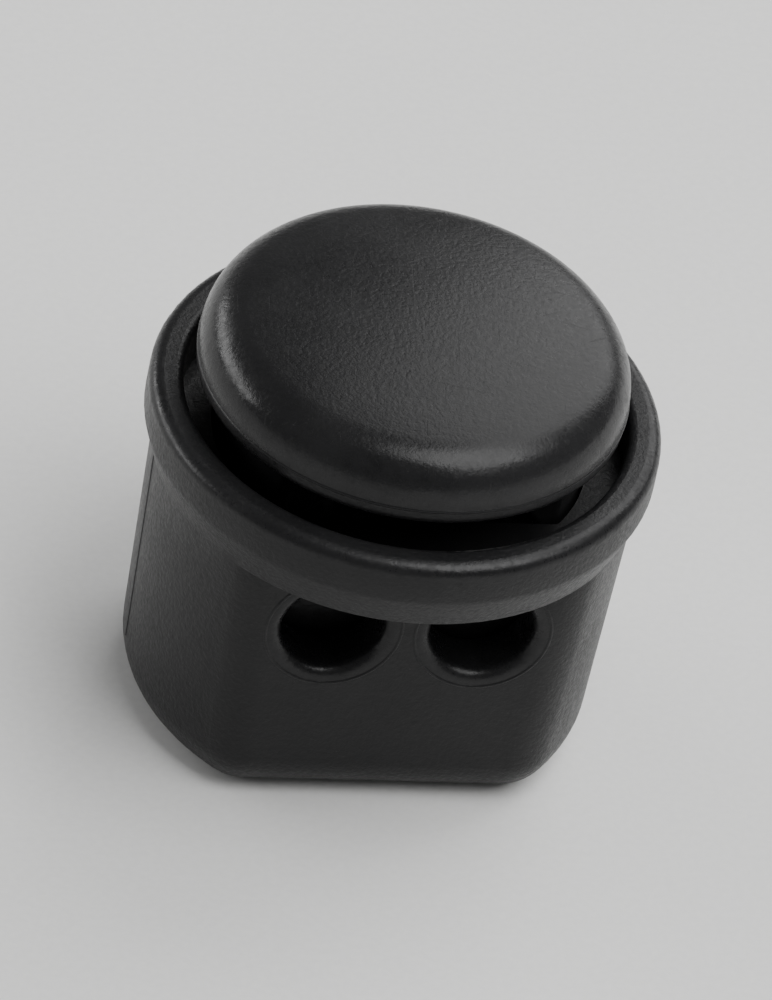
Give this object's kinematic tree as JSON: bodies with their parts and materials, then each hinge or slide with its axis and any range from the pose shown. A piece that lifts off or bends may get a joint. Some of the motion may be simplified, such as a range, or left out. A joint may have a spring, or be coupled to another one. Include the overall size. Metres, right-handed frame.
{
  "type": "cord lock",
  "caption": "Round push-button cord lock: a flanged double-D housing with parallel cord holes, and a spring-loaded button whose stem pinches the cords.",
  "frame": {"origin": "centre of the housing's flat base, on the axis that the button slides along", "axes": "+Z along the button's travel, from the base up to the button; the cords run along Y; the two cord holes stand side by side along X"},
  "size_m": [0.015, 0.015, 0.0143],
  "materials": {
    "housing": "charcoal moulded plastic, satin with a fine grain",
    "button": "charcoal moulded plastic, satin with a fine grain",
    "spring": "bright drawn stainless wire"
  },
  "bodies": {
    "housing": {"housing": "housing", "spring": "spring"},
    "button": {"button": "button"}
  },
  "joints": [
    {"name": "button_press", "type": "slide", "parent": "housing", "child": "button", "axis": [0, 0, -1], "range_m": [0, 0.002], "stiffness_N_per_m": 1120, "deforming": ["spring"]}
  ]
}
